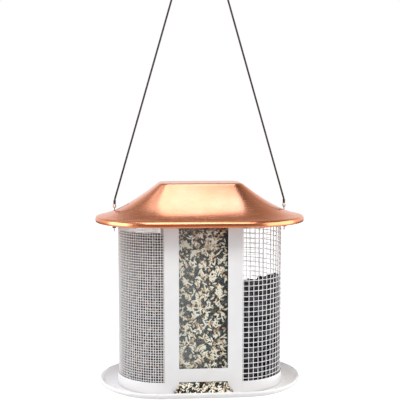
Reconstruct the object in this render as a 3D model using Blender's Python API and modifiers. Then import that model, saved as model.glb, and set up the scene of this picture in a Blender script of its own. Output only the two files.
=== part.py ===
"""Hanging bird feeder with a copper roof, two wire mesh ends and two glazed ports.

Metres, +Z up, +X along the feeder, -Y towards its front. The world origin is the point inside
the top hook where the feeder hangs. Heights in the constants below are measured up from the
underside of the tray, and every feeder piece is built in that frame.
"""

import math

import bmesh
import bpy
from mathutils import Matrix, Vector

# The outline that the tray, body and roof share: a rectangle with half-circle ends.
HALF_STRAIGHT = 0.0475
ARC_STEPS = 20
GAP = 0.0003

# Tray: a pressed pan whose middle is raised under the body.
TRAY_RADIUS = 0.0803
TRAY_RIM = 0.0090
SHEET = 0.0012
PLATEAU_RADIUS = 0.0500
PLATEAU_RISE = 0.0030

# Body.
BODY_RADIUS = 0.0560
MESH_THICK = 0.0008
BAND_THICK = 0.0008
BODY_BOTTOM = 0.0016
BASE_BAND_TOP = 0.0154
TOP_BAND_BOTTOM = 0.2050
TOP_BAND_TOP = 0.2190
MESH_BOTTOM = 0.0080
MESH_TOP = 0.2062

# Front and back frames, each a folded sheet with a window and a feeding port.
FRAME_FACE = 0.0565
FRAME_FLANGE = 0.0090
FRAME_TOP = 0.2160
FLANGE_FOOT = 0.0062
WINDOW_HALF = 0.0296
WINDOW_SILL = 0.0317
WINDOW_HEAD = 0.2055
PORT_TOP = 0.0155
PANE_HALF = 0.0340
PANE_BOTTOM = 0.0200
PANE_TOP = 0.2120
PANE_FACE = 0.0543
PANE_THICK = 0.0020

# Inside.
BASE_PLATE_BOTTOM = 0.0046
BASE_PLATE_THICK = 0.0010
BASE_PLATE_RADIUS = 0.0530
DIVIDER_X = 0.0450
DIVIDER_THICK = 0.0008
DIVIDER_TOP = 0.2040
DEFLECTOR_RISE = 0.0300
DEFLECTOR_HALF = 0.0490
SCREW_X = 0.0700
SCREW_Y = 0.0240

# Roof: half length, half width and corner radius of its flat top and of its brim.
CROWN_OUTLINE = (0.0505, 0.0280, 0.0120)
BRIM_OUTLINE = (0.1310, 0.0835, 0.0831)
ROOF_TOP = 0.2548
ROOF_FALL = 0.0414
BRIM_BOTTOM = 0.2063
ROOF_CURVE = 1.55
ROOF_THICK = 0.0010
SLOT_INNER = 0.0872
SLOT_OUTER = 0.1095
SLOT_HALF_WIDTH = 0.0029

# Hanging gear.
LINK_WIRE = 0.0012
LINK_EYE_RADIUS = 0.0017
LINK_EYE = (0.1072, 0.2234)
LINK_FOOT = (0.1078, 0.1952)
LUG_FOOT = 0.1980
LUG_TOP = 0.2135
LUG_THICK = 0.0009
LUG_REACH = 0.0022
LUG_NEAR = -0.0034
LUG_FAR = 0.0080
RIVET_HEIGHT = 0.2095
RIVET_OFFSET = 0.0045
CABLE = 0.0024
CABLE_END_LEAN = math.radians(2)
CABLE_LOOP_RADIUS = 0.0017
CABLE_LOOP_WIRE = 0.0011
SLEEVE_START = 0.0044
SLEEVE_LENGTH = 0.0050
SLEEVE_RADIUS = 0.0016
CROWN_RADIUS = 0.0280
CROWN_TOP = 0.5266
CABLE_STEP = 0.0080
HOOK_WIRE = 0.0045
HOOK_LOWER_RADIUS = 0.0090
HOOK_UPPER_RADIUS = 0.0135
HOOK_SHANK = 0.0200

PIVOT_HEIGHT = CROWN_TOP - CABLE / 2 - GAP - HOOK_WIRE / 2
HOOK_REACH = HOOK_LOWER_RADIUS + HOOK_SHANK + HOOK_UPPER_RADIUS - HOOK_WIRE / 2
HANG_HEIGHT = PIVOT_HEIGHT + HOOK_REACH

# Seed: heights of the three loads.
NYJER_LEVEL = 0.1965
SUNFLOWER_LEVEL = 0.1420
MIX_LEVEL = 0.2000

# Colour, roughness and metallic value of each material.
FINISHES = {
    "white_steel": ((0.76, 0.75, 0.76), 0.45, 0.0),
    "white_tray": ((0.80, 0.78, 0.78), 0.40, 0.0),
    "copper": ((0.82, 0.40, 0.24), 0.28, 1.0),
    "galvanised": ((0.55, 0.55, 0.55), 0.45, 1.0),
    "bronze_wire": ((0.30, 0.20, 0.14), 0.40, 1.0),
    "dark_cable": ((0.05, 0.04, 0.04), 0.50, 0.0),
    "steel_hook": ((0.50, 0.50, 0.50), 0.30, 1.0),
    "clear_pane": ((0.95, 0.97, 0.97), 0.05, 0.0),
    "nyjer": ((0.06, 0.05, 0.045), 0.70, 0.0),
    "seed_mix": ((0.42, 0.36, 0.26), 0.70, 0.0),
    "sunflower": ((0.025, 0.025, 0.035), 0.55, 0.0),
}


def clear_scene():
    for obj in list(bpy.data.objects):
        bpy.data.objects.remove(obj, do_unlink=True)


def new_collection(name):
    collection = bpy.data.collections.new(name)
    bpy.context.scene.collection.children.link(collection)
    return collection


def new_material(name):
    colour, roughness, metallic = FINISHES[name]
    material = bpy.data.materials.new(name)
    material.use_nodes = True
    shader = material.node_tree.nodes["Principled BSDF"]
    shader.inputs["Base Color"].default_value = (*colour, 1.0)
    shader.inputs["Roughness"].default_value = roughness
    shader.inputs["Metallic"].default_value = metallic
    if name == "clear_pane":
        shader.inputs["Transmission Weight"].default_value = 1.0
    return material


def new_empty(name, height, parent=None):
    """A parent at this height above its own parent, or above the world origin."""
    empty = bpy.data.objects.new(name, None)
    empty.parent = parent
    empty.location.z = height
    parts.objects.link(empty)
    return empty


def add_part(name, data, finish, parent):
    obj = bpy.data.objects.new(name, data)
    obj.parent = parent
    parts.objects.link(obj)
    data.materials.append(materials[finish])
    return obj


def add_cutter(target, name, data):
    """Cuts this mesh from target. The cutter shares target's parent, so both move together."""
    cutter = bpy.data.objects.new(name, data)
    cutter.parent = target.parent
    cutter.hide_render = True
    cutter.display_type = "WIRE"
    cutters.objects.link(cutter)
    boolean = target.modifiers.new(name, "BOOLEAN")
    boolean.operation = "DIFFERENCE"
    boolean.object = cutter


def round_edges(obj, width):
    bevel = obj.modifiers.new("rounded_edges", "BEVEL")
    bevel.width = width
    bevel.segments = 1
    bevel.limit_method = "ANGLE"


def shade_round(mesh):
    mesh.shade_smooth()
    mesh.set_sharp_from_angle(angle=math.radians(35))


def mesh_of_curve(curve):
    """The curve's surface as one welded mesh."""
    holder = bpy.data.objects.new(curve.name, curve)
    bpy.context.scene.collection.objects.link(holder)
    graph = bpy.context.evaluated_depsgraph_get()
    mesh = bpy.data.meshes.new_from_object(holder.evaluated_get(graph))
    bpy.data.objects.remove(holder)
    bpy.data.curves.remove(curve)
    work = bmesh.new()
    work.from_mesh(mesh)
    bmesh.ops.remove_doubles(work, verts=work.verts, dist=1e-6)
    bmesh.ops.recalc_face_normals(work, faces=work.faces)
    work.to_mesh(mesh)
    work.free()
    return mesh


def prism(name, outlines, bottom, top):
    """A flat outline in X and Y, with holes where outlines nest, raised from bottom to top."""
    curve = bpy.data.curves.new(name, "CURVE")
    curve.dimensions = "2D"
    curve.fill_mode = "BOTH"
    curve.extrude = (top - bottom) / 2
    for outline in outlines:
        spline = curve.splines.new("POLY")
        spline.points.add(len(outline) - 1)
        spline.use_cyclic_u = True
        for point, (x, y) in zip(spline.points, outline):
            point.co = (x, y, 0, 1)
    mesh = mesh_of_curve(curve)
    mesh.transform(Matrix.Translation((0, 0, (top + bottom) / 2)))
    return mesh


def box(name, low, high):
    work = bmesh.new()
    bmesh.ops.create_cube(work, size=1)
    low, high = Vector(low), Vector(high)
    bmesh.ops.scale(work, vec=high - low, verts=work.verts)
    bmesh.ops.translate(work, vec=(high + low) / 2, verts=work.verts)
    mesh = bpy.data.meshes.new(name)
    work.to_mesh(mesh)
    work.free()
    return mesh


def wire(name, points, diameter, resolution=2):
    """A round wire along these points, with closed ends."""
    curve = bpy.data.curves.new(name, "CURVE")
    curve.dimensions = "3D"
    curve.bevel_depth = diameter / 2
    curve.bevel_resolution = resolution
    curve.use_fill_caps = True
    spline = curve.splines.new("POLY")
    spline.points.add(len(points) - 1)
    for point, place in zip(spline.points, points):
        point.co = (*place, 1)
    return mesh_of_curve(curve)


def turned(name, profile, steps=16):
    """A solid turned about Z from its outer profile, listed from the top down."""
    work = bmesh.new()
    verts = [work.verts.new((radius, 0, height)) for radius, height in profile]
    edges = [work.edges.new(pair) for pair in zip(verts, verts[1:])]
    bmesh.ops.spin(
        work,
        geom=verts + edges,
        angle=math.tau,
        steps=steps,
        axis=(0, 0, 1),
        cent=(0, 0, 0),
    )
    bmesh.ops.remove_doubles(work, verts=work.verts, dist=1e-6)
    bmesh.ops.recalc_face_normals(work, faces=work.faces)
    mesh = bpy.data.meshes.new(name)
    work.to_mesh(mesh)
    work.free()
    return mesh


def stadium(half_straight, radius, steps=ARC_STEPS):
    """Points round a rectangle with half-circle ends, counter-clockwise from the front right."""
    return [
        (
            side * (half_straight + radius * math.cos(angle)),
            side * radius * math.sin(angle),
        )
        for side in (1, -1)
        for angle in (math.pi * (i / steps - 0.5) for i in range(steps + 1))
    ]


def rounded_rectangle(half_x, half_y, corner, steps=ARC_STEPS // 2):
    """Points round a rectangle with quarter-circle corners, counter-clockwise."""
    return [
        (
            across * (half_x - corner) + corner * math.cos(angle),
            along * (half_y - corner) + corner * math.sin(angle),
        )
        for across, along, start in ((1, 1, 0), (-1, 1, 1), (-1, -1, 2), (1, -1, 3))
        for angle in (math.pi / 2 * (start + i / steps) for i in range(steps + 1))
    ]


def end_arc(side, radius, steps=ARC_STEPS):
    """The half circle at one end of the body, from front to back."""
    centre = side * (HALF_STRAIGHT + GAP)
    return [
        (centre + side * radius * math.cos(angle), radius * math.sin(angle))
        for angle in (math.pi * (i / steps - 0.5) for i in range(steps + 1))
    ]


def end_shell(side, outer, thickness):
    """The outline of a half-round wall at one end of the body."""
    return [end_arc(side, outer) + end_arc(side, outer - thickness)[::-1]]


def loft(name, rings):
    """A closed solid over rings of points with equal counts, each end filled by one flat face."""
    work = bmesh.new()
    loops = [[work.verts.new(point) for point in ring] for ring in rings]
    for loop in loops:
        for a, b in zip(loop, loop[1:] + loop[:1]):
            work.edges.new((a, b))
    for below, above in zip(loops, loops[1:]):
        for i in range(len(below)):
            j = (i + 1) % len(below)
            work.faces.new((below[i], below[j], above[j], above[i]))
    work.faces.new(loops[0][::-1])
    work.faces.new(loops[-1])
    bmesh.ops.recalc_face_normals(work, faces=work.faces)
    mesh = bpy.data.meshes.new(name)
    work.to_mesh(mesh)
    work.free()
    return mesh


def stadium_loft(name, sections):
    """A loft over stadiums, each section giving half_straight, radius and height."""
    rings = [
        [(x, y, height) for x, y in stadium(half_straight, radius)]
        for half_straight, radius, height in sections
    ]
    return loft(name, rings)


def inset_ring(outline, inset, height):
    """A ring of points inside this outline by the inset, at this height."""
    return [(x, y, height) for x, y in rounded_rectangle(*(size - inset for size in outline))]


def roof_ring(share):
    """A ring of the roof's skin, from its flat top at 0 to its brim at 1."""
    outline = [a + (b - a) * share for a, b in zip(CROWN_OUTLINE, BRIM_OUTLINE)]
    return inset_ring(outline, 0, ROOF_TOP - ROOF_FALL * (1 - (1 - share) ** ROOF_CURVE))


def make_roof(parent):
    shares = (0.035, 0.09, 0.17, 0.27, 0.38, 0.50, 0.62, 0.74, 0.85, 0.94)
    top_edge = [
        inset_ring(CROWN_OUTLINE, 0.0018, ROOF_TOP),
        inset_ring(CROWN_OUTLINE, 0, ROOF_TOP - 0.0005),
    ]
    outer = top_edge + [roof_ring(share) for share in shares]
    # How far each ring of the rolled edge is inside the brim, and its height over the bottom.
    rolled = (
        (0.0018, 0.0068),
        (0.0008, 0.0059),
        (0.0002, 0.0046),
        (0.0000, 0.0028),
        (0.0001, 0.0015),
        (0.0006, 0.0005),
        (0.0016, 0.0000),
        (0.0024, 0.0008),
        (0.0024, 0.0046),
    )
    brim = [inset_ring(BRIM_OUTLINE, inset, BRIM_BOTTOM + rise) for inset, rise in rolled]
    inner = [[(x, y, z - ROOF_THICK) for x, y, z in ring] for ring in reversed(outer)]
    roof = add_part("roof", loft("roof", outer + brim + inner), "copper", parent)
    for side, name in ((-1, "left"), (1, "right")):
        middle = side * (SLOT_INNER + SLOT_OUTER) / 2
        half = (SLOT_OUTER - SLOT_INNER) / 2 - SLOT_HALF_WIDTH
        outline = [(x + middle, y) for x, y in stadium(half, SLOT_HALF_WIDTH, 6)]
        slot = prism("slot_" + name, [outline], BRIM_BOTTOM, ROOF_TOP)
        add_cutter(roof, "slot_" + name, slot)
    shade_round(roof.data)


def make_tray(parent):
    profile = [
        (PLATEAU_RADIUS - 0.0010, PLATEAU_RISE),
        (PLATEAU_RADIUS + 0.0010, 0.0),
        (TRAY_RADIUS - 0.0100, 0.0),
        (TRAY_RADIUS - 0.0045, 0.0012),
        (TRAY_RADIUS - 0.0014, 0.0034),
        (TRAY_RADIUS, 0.0064),
        (TRAY_RADIUS - 0.0003, TRAY_RIM - 0.0009),
        (TRAY_RADIUS - 0.0015, TRAY_RIM),
        (TRAY_RADIUS - 0.0033, TRAY_RIM - 0.0004),
        (TRAY_RADIUS - 0.0046, TRAY_RIM - 0.0022),
        (TRAY_RADIUS - 0.0062, 0.0036),
        (TRAY_RADIUS - 0.0085, 0.0018),
        (TRAY_RADIUS - 0.0108, SHEET),
        (PLATEAU_RADIUS + 0.0020, SHEET),
        (PLATEAU_RADIUS, PLATEAU_RISE + SHEET),
    ]
    sections = [(HALF_STRAIGHT, radius, height) for radius, height in profile]
    tray = add_part("tray", stadium_loft("tray", sections), "white_tray", parent)
    for number, (x, y) in enumerate(screw_places(), 1):
        name = f"tray_hole_{number}"
        add_cutter(tray, name, screw_hole(name, x, y))
    shade_round(tray.data)


def screw_places():
    return [(sx * SCREW_X, sy * SCREW_Y) for sx in (-1, 1) for sy in (-1, 1)]


def screw_hole(name, x, y, radius=0.0019):
    hole = turned(name, [(0, 0.02), (radius, 0.02), (radius, -0.01), (0, -0.01)])
    hole.transform(Matrix.Translation((x, y, 0)))
    return hole


def make_base_plate(parent):
    outline = stadium(HALF_STRAIGHT, BASE_PLATE_RADIUS)
    top = BASE_PLATE_BOTTOM + BASE_PLATE_THICK
    mesh = prism("base_plate", [outline], BASE_PLATE_BOTTOM, top)
    plate = add_part("base_plate", mesh, "white_steel", parent)
    for number, (x, y) in enumerate(screw_places(), 1):
        name = f"base_hole_{number}"
        add_cutter(plate, name, screw_hole(name, x, y))


def make_tray_screws(parent):
    """Four pan head screws up through the tray's plateau and the base plate, each with a nut."""
    under = PLATEAU_RISE - GAP
    head = [(0, 0.0105), (0.0014, 0.0105), (0.0015, 0.0100), (0.0015, under), (0.0029, under)]
    head += [(0.0029, under - 0.0009), (0.0021, under - 0.0017), (0, under - 0.0019)]
    seat = BASE_PLATE_BOTTOM + BASE_PLATE_THICK + GAP
    hexagon = [polar(0.0031, math.tau * i / 6) for i in range(6)]
    bore = [polar(0.0018, -math.tau * i / 16) for i in range(16)]
    for number, (x, y) in enumerate(screw_places(), 1):
        place = Matrix.Translation((x, y, 0))
        screw = turned("tray_screw", head)
        screw.transform(place)
        shade_round(screw)
        add_part(f"tray_screw_{number}", screw, "galvanised", parent)
        nut = prism("tray_nut", [hexagon, bore], seat, seat + 0.0024)
        nut.transform(place)
        add_part(f"tray_nut_{number}", nut, "galvanised", parent)


def polar(radius, angle):
    return radius * math.cos(angle), radius * math.sin(angle)


def make_frame(name, facing, parent):
    """A folded sheet with a flange down each side. facing is -1 at the front and 1 at the back."""
    half, face, sheet = HALF_STRAIGHT, FRAME_FACE, SHEET
    depth = face - FRAME_FLANGE
    section = [
        (-half, -face),
        (half, -face),
        (half, -depth),
        (half - sheet, -depth),
        (half - sheet, -face + sheet),
        (-half + sheet, -face + sheet),
        (-half + sheet, -depth),
        (-half, -depth),
    ]
    outline = [(-facing * x, -facing * y) for x, y in section]
    frame = add_part(
        name, prism(name, [outline], BODY_BOTTOM, FRAME_TOP), "white_steel", parent
    )
    near, far = sorted((facing * 0.05, facing * 0.06))
    window = box(
        name + "_window", (-WINDOW_HALF, near, WINDOW_SILL), (WINDOW_HALF, far, WINDOW_HEAD)
    )
    port = box(name + "_port", (-WINDOW_HALF, near, -0.01), (WINDOW_HALF, far, PORT_TOP))
    # The flanges stop above the base plate, and only the face goes down to the tray.
    near, far = sorted((facing * 0.04, facing * (FRAME_FACE - SHEET - 0.0002)))
    relief = box(name + "_relief", (-half - 0.01, near, -0.01), (half + 0.01, far, FLANGE_FOOT))
    add_cutter(frame, name + "_window", window)
    add_cutter(frame, name + "_port", port)
    add_cutter(frame, name + "_relief", relief)
    round_edges(frame, 0.0003)


def make_pane(name, facing, parent):
    near, far = sorted((facing * PANE_FACE, facing * (PANE_FACE - PANE_THICK)))
    mesh = box(name, (-PANE_HALF, near, PANE_BOTTOM), (PANE_HALF, far, PANE_TOP))
    round_edges(add_part(name, mesh, "clear_pane", parent), 0.0002)


def make_divider(name, side, parent):
    low, high = sorted((side * DIVIDER_X, side * (DIVIDER_X + DIVIDER_THICK)))
    bottom = BASE_PLATE_BOTTOM + BASE_PLATE_THICK + GAP
    corner = BASE_PLATE_RADIUS - 0.0005
    mesh = box(name, (low, -corner, bottom), (high, corner, DIVIDER_TOP))
    add_part(name, mesh, "galvanised", parent)


def make_deflector(parent):
    """A folded sheet like a roof's ridge, which sends the seed to the two ports."""
    foot = BASE_PLATE_BOTTOM + BASE_PLATE_THICK + GAP
    ridge = foot + DEFLECTOR_RISE
    outline = [
        (-DEFLECTOR_HALF, foot),
        (-DEFLECTOR_HALF + 0.0024, foot),
        (0, ridge - 0.0014),
        (DEFLECTOR_HALF - 0.0024, foot),
        (DEFLECTOR_HALF, foot),
        (0, ridge),
    ]
    half = DIVIDER_X - 0.0006
    mesh = prism("seed_deflector", [outline], -half, half)
    mesh.transform(Matrix(((0, 0, 1, 0), (1, 0, 0, 0), (0, 1, 0, 0), (0, 0, 0, 1))))
    add_part("seed_deflector", mesh, "galvanised", parent)


def make_end(side, name, mesh_name, parent):
    """One half-round end: its wire mesh between a base band and a top band."""
    cage = prism(
        mesh_name, end_shell(side, BODY_RADIUS, MESH_THICK), MESH_BOTTOM, MESH_TOP
    )
    band_outer = BODY_RADIUS + GAP + BAND_THICK
    band = end_shell(side, band_outer, BAND_THICK)
    base = prism(f"{name}_base_band", band, BODY_BOTTOM, BASE_BAND_TOP)
    top = prism(f"{name}_top_band", band, TOP_BAND_BOTTOM, TOP_BAND_TOP)
    for mesh in (cage, base, top):
        shade_round(mesh)
    add_part(mesh_name, cage, "white_steel", parent)
    add_part(f"{name}_base_band", base, "white_steel", parent)
    top_band = add_part(f"{name}_top_band", top, "white_steel", parent)
    make_lug(side, name, band_outer, top_band, parent)


def make_lug(side, name, band_outer, top_band, parent):
    """An angle riveted to the top band, with a hole in its foot for the hanging link.

    The rivet sits behind the link, whose wire passes in front of the angle at the middle.
    """
    back = HALF_STRAIGHT + GAP + band_outer + GAP
    face = back + LUG_THICK
    toe = LINK_FOOT[0] + LUG_REACH
    section = [
        (back, LUG_FOOT),
        (toe, LUG_FOOT),
        (toe, LUG_FOOT + LUG_THICK),
        (face, LUG_FOOT + LUG_THICK),
        (face, LUG_TOP),
        (back, LUG_TOP),
    ]
    near, far = sorted((side * LUG_NEAR, side * LUG_FAR))
    lug = prism(name + "_lug", [section], near, far)
    lug.transform(Matrix(((side, 0, 0, 0), (0, 0, side, 0), (0, 1, 0, 0), (0, 0, 0, 1))))
    lug_part = add_part(f"{name}_hanging_lug", lug, "bronze_wire", parent)
    foot_hole = turned(name, [(0, 0.21), (0.0012, 0.21), (0.0012, 0.19), (0, 0.19)], 12)
    foot_hole.transform(Matrix.Translation((side * LINK_FOOT[0], 0, 0)))
    add_cutter(lug_part, name + "_foot_hole", foot_hole)
    sideways = Matrix.Rotation(side * math.pi / 2, 4, "Y")
    at_rivet = Matrix.Translation((0, RIVET_OFFSET, RIVET_HEIGHT))
    hole = [(0, 0.12), (0.0015, 0.12), (0.0015, 0.09), (0, 0.09)]
    for target in (lug_part, top_band):
        rivet_hole = turned(name, hole)
        rivet_hole.transform(at_rivet @ sideways)
        add_cutter(target, f"{target.name}_rivet_hole", rivet_hole)
    # The band curves away from the angle, so the rivet's inner head sits further in.
    outside, inside = face + GAP, back - GAP - BAND_THICK - GAP - 0.0004
    rivet = [
        (0, outside + 0.0009),
        (0.0014, outside + 0.0007),
        (0.0024, outside),
        (0.0012, outside),
        (0.0012, inside),
        (0.0021, inside),
        (0.0017, inside - 0.0008),
        (0, inside - 0.0010),
    ]
    rivet_mesh = turned(name + "_rivet", rivet)
    rivet_mesh.transform(at_rivet @ sideways)
    shade_round(rivet_mesh)
    add_part(f"{name}_lug_rivet", rivet_mesh, "galvanised", parent)


def make_link(side, name, parent):
    """A wire from a hook under the lug, up through the roof's slot, to an eye for the cable."""
    foot_x, foot_z = LINK_FOOT
    eye_x, eye_z = LINK_EYE
    turn = 0.0016
    hook = [
        (side * foot_x, turn + turn * math.cos(angle), foot_z + turn * math.sin(angle))
        for angle in (math.radians(20 - 200 * i / 7) for i in range(8))
    ]
    eye = [
        (
            side * eye_x,
            LINK_EYE_RADIUS * math.cos(angle),
            eye_z + LINK_EYE_RADIUS * math.sin(angle),
        )
        for angle in (math.radians(-90 + 300 * i / 15) for i in range(16))
    ]
    mesh = wire(name, hook + eye, LINK_WIRE, 1)
    shade_round(mesh)
    add_part(name, mesh, "bronze_wire", parent)


def cable_end_axis(side):
    """Where the cable's end loop sits in the link's eye, and the way it leans from there."""
    eye_x, eye_z = LINK_EYE
    start = Vector((side * eye_x, 0, eye_z))
    lean = Vector((-side * math.sin(CABLE_END_LEAN), 0, math.cos(CABLE_END_LEAN)))
    return start, lean


def make_cable_end(side, name, parent):
    """The loop that passes through the link's eye, and the sleeve crimped over it."""
    start, lean = cable_end_axis(side)
    across = Vector((lean.z, 0, -lean.x))
    middle = start + lean * CABLE_LOOP_RADIUS
    inside_sleeve = start + lean * (SLEEVE_START + 0.0010)
    loop = [inside_sleeve - across * CABLE_LOOP_WIRE / 2]
    for i in range(15):
        angle = math.radians(-205 + 230 * i / 14)
        loop.append(
            middle
            + across * CABLE_LOOP_RADIUS * math.cos(angle)
            + lean * CABLE_LOOP_RADIUS * math.sin(angle)
        )
    loop.append(inside_sleeve + across * CABLE_LOOP_WIRE / 2)
    end = add_part(name, wire(name, loop, CABLE_LOOP_WIRE, 1), "dark_cable", parent)
    profile = [
        (0, SLEEVE_LENGTH),
        (SLEEVE_RADIUS * 0.8, SLEEVE_LENGTH),
        (SLEEVE_RADIUS, SLEEVE_LENGTH - 0.0006),
        (SLEEVE_RADIUS, 0.0006),
        (SLEEVE_RADIUS * 0.8, 0),
        (0, 0),
    ]
    sleeve = turned(name + "_sleeve", profile, 12)
    turn = lean.to_track_quat("Z", "Y").to_matrix().to_4x4()
    sleeve.transform(Matrix.Translation(start + lean * SLEEVE_START) @ turn)
    joined = bpy.data.objects.new(name + "_sleeve", sleeve)
    joined.parent = parent
    joined.hide_render = True
    joined.display_type = "WIRE"
    cutters.objects.link(joined)
    union = end.modifiers.new("sleeve", "BOOLEAN")
    union.operation = "UNION"
    union.object = joined
    shade_round(end.data)


def cable_route():
    """The cable's line: up one leg, over the crown and down the other leg."""
    start, lean = cable_end_axis(1)
    foot = start + lean * (SLEEVE_START + SLEEVE_LENGTH + GAP)
    centre = CROWN_TOP - CROWN_RADIUS
    # The leg is the tangent from its foot to the crown's circle.
    reach = math.hypot(foot.x, foot.z - centre)
    bearing = math.atan2(foot.z - centre, foot.x)
    touch = bearing + math.acos(CROWN_RADIUS / reach)
    tangent = Vector(
        (CROWN_RADIUS * math.cos(touch), 0, centre + CROWN_RADIUS * math.sin(touch))
    )
    leg_steps = round((tangent - foot).length / CABLE_STEP)
    leg = [foot.lerp(tangent, i / leg_steps) for i in range(leg_steps)]
    arc_steps = 10
    crown = [
        Vector(
            (CROWN_RADIUS * math.cos(angle), 0, centre + CROWN_RADIUS * math.sin(angle))
        )
        for angle in (
            touch + (math.pi / 2 - touch) * i / arc_steps for i in range(arc_steps + 1)
        )
    ]
    right = leg + crown
    left = [Vector((-p.x, p.y, p.z)) for p in right]
    return left + right[-2::-1]


def make_cable(parent):
    mesh = wire("hanger_cable", cable_route(), CABLE)
    shade_round(mesh)
    add_part("hanger_cable", mesh, "dark_cable", parent)


def make_hook(parent):
    """An open S of steel wire: its lower bend carries the cable, its upper bend hangs."""
    lower, upper = HOOK_LOWER_RADIUS, HOOK_UPPER_RADIUS
    low_centre = HOOK_WIRE / 2 - upper - HOOK_SHANK
    high_centre = HOOK_WIRE / 2 - upper
    tip = [(0, -lower, low_centre + 0.0045)]
    bend = [
        (0, lower * math.cos(angle), low_centre + lower * math.sin(angle))
        for angle in (math.radians(180 + 180 * i / 12) for i in range(13))
    ]
    shank = [
        (
            0,
            lower - (lower + upper) * (3 * t * t - 2 * t**3),
            low_centre + (high_centre - low_centre) * t,
        )
        for t in (i / 8 for i in range(1, 8))
    ]
    crest = [
        (0, upper * math.cos(angle), high_centre + upper * math.sin(angle))
        for angle in (math.radians(180 - 205 * i / 14) for i in range(15))
    ]
    mesh = wire("hanging_hook", tip + bend + shank + crest, HOOK_WIRE)
    shade_round(mesh)
    add_part("hanging_hook", mesh, "steel_hook", parent)


def make_seed(parent):
    """The three loads of seed and the two heaps that run out onto the tray."""
    floor = 0.0112
    radius = BODY_RADIUS - MESH_THICK - 0.0006
    for side, name, finish, level in (
        (-1, "nyjer_fill", "nyjer", NYJER_LEVEL),
        (1, "sunflower_fill", "sunflower", SUNFLOWER_LEVEL),
    ):
        mesh = prism(name, [end_arc(side, radius)], floor, level)
        shade_round(mesh)
        add_part(name, mesh, finish, parent)
    wall = PANE_FACE - PANE_THICK - 0.0004
    foot = BASE_PLATE_BOTTOM + BASE_PLATE_THICK + 0.0006
    ridge = foot + DEFLECTOR_RISE + 0.0022
    outline = [(-wall, MIX_LEVEL), (-wall, foot), (0, ridge), (wall, foot), (wall, MIX_LEVEL)]
    half = DIVIDER_X - 0.0004
    mix = prism("seed_mix_fill", [outline], -half, half)
    mix.transform(Matrix(((0, 0, 1, 0), (1, 0, 0, 0), (0, 1, 0, 0), (0, 0, 0, 1))))
    add_part("seed_mix_fill", mix, "seed_mix", parent)
    make_heap("seed_heap_front", -1, wall, parent)
    make_heap("seed_heap_back", 1, wall, parent)


def make_heap(name, facing, wall, parent):
    """Seed that has run through a port and spread over the tray."""
    floor = SHEET + GAP
    neck_floor = BASE_PLATE_BOTTOM + BASE_PLATE_THICK + GAP
    neck = WINDOW_HALF - 0.0006
    # Distance out, half width at the foot, half width at the top, foot and top heights.
    sections = (
        (wall + 0.0003, neck, neck, neck_floor, PORT_TOP - 0.0008),
        (FRAME_FACE + 0.0003, neck, neck, neck_floor, PORT_TOP - 0.0010),
        (FRAME_FACE + 0.0007, 0.0370, 0.0290, floor, PORT_TOP - 0.0014),
        (FRAME_FACE + 0.0070, 0.0360, 0.0265, floor, 0.0088),
        (FRAME_FACE + 0.0125, 0.0320, 0.0260, floor, 0.0030),
    )
    rings = [
        [
            (-foot_half, facing * out, foot),
            (foot_half, facing * out, foot),
            (top_half, facing * out, top),
            (-top_half, facing * out, top),
        ]
        for out, foot_half, top_half, foot, top in sections
    ]
    add_part(name, loft(name, rings), "seed_mix", parent)


def build():
    hook_origin = new_empty("hang_point", 0.0)
    swing_pivot = new_empty("swing_pivot", PIVOT_HEIGHT - HANG_HEIGHT)
    feeder = new_empty("feeder_origin", -PIVOT_HEIGHT, swing_pivot)
    roof_lift = new_empty("roof_lift", 0.0, feeder)
    make_hook(hook_origin)
    make_cable(feeder)
    for side, name in ((-1, "left"), (1, "right")):
        make_cable_end(side, f"{name}_cable_end", feeder)
        make_link(side, f"{name}_hanging_link", feeder)
        make_divider(f"{name}_divider", side, feeder)
    make_end(-1, "left", "fine_mesh", feeder)
    make_end(1, "right", "coarse_mesh", feeder)
    for facing, name in ((-1, "front"), (1, "back")):
        make_frame(f"{name}_frame", facing, feeder)
        make_pane(f"{name}_window", facing, feeder)
    make_base_plate(feeder)
    make_deflector(feeder)
    make_tray(feeder)
    make_tray_screws(feeder)
    make_seed(feeder)
    make_roof(roof_lift)


clear_scene()
parts = new_collection("bird_feeder")
cutters = new_collection("bird_feeder_cutters")
materials = {name: new_material(name) for name in FINISHES}
build()
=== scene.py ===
"""Looks of the hanging bird feeder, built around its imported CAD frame.

Metres, in the frame's own axes: +Z up, -Y towards the front, origin where the hook hangs.
Heights named here are measured up from the underside of the tray, as in the part's source.
"""

import math

import bmesh
import bpy
import numpy as np
from mathutils import Matrix, Vector, noise


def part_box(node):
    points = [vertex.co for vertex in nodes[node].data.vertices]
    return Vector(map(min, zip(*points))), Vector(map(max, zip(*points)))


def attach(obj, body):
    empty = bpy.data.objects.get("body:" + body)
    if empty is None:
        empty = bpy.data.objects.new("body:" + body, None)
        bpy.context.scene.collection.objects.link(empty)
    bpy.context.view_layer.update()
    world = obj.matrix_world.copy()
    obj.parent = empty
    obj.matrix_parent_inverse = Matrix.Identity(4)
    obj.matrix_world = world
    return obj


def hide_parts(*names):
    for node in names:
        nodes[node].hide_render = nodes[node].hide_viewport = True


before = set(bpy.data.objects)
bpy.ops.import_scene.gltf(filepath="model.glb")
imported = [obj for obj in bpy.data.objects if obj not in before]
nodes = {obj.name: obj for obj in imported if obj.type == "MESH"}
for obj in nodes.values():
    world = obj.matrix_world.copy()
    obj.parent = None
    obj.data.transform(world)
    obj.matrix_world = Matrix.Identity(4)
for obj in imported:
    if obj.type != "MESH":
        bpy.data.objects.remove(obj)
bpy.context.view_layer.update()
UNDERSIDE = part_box("tray")[0].z

# The outline that tray, body and roof share.
HALF_STRAIGHT = 0.0475
ARC_STEPS = 72
STRAIGHT_STEPS = 10

# How far seeds and uprights, and the swept bands and hoops, keep off the straight part.
END_GAP = 0.0003
SWEEP_GAP = 0.00005


def height(above_underside):
    return UNDERSIDE + above_underside


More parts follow.
